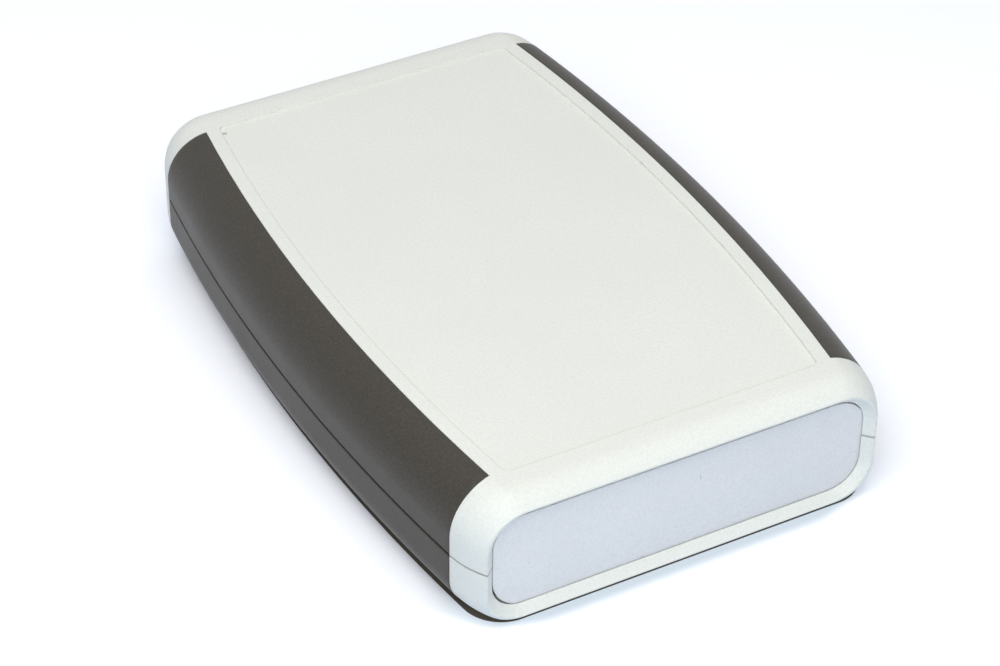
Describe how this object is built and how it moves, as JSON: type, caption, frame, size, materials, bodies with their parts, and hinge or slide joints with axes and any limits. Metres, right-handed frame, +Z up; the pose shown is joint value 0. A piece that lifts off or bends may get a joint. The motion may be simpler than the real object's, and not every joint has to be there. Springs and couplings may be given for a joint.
{
  "type": "handheld enclosure",
  "caption": "Handheld plastic instrument case with bowed sides, soft dark side grips, a shallow label recess on top and a flat removable panel at each end.",
  "frame": {"origin": "middle of the foot plate's flat face under the bottom, on the surface that the case stands on", "axes": "+X across the width to the right of the near end panel, +Y along the length away from that panel, +Z up through the top with the label recess"},
  "size_m": [0.0828, 0.1188, 0.0243],
  "materials": {
    "shell": "fine moulded texture, off-white",
    "grip": "matte soft-touch, warm dark grey",
    "panel": "satin, pale blue-grey",
    "screw": "zinc plated"
  },
  "bodies": {
    "root": {"top_shell": "shell", "bottom_shell": "shell", "upper_left_grip": "grip", "upper_right_grip": "grip", "lower_left_grip": "grip", "lower_right_grip": "grip", "front_end_panel": "panel", "rear_end_panel": "panel", "case_screws": "screw"}
  },
  "joints": []
}
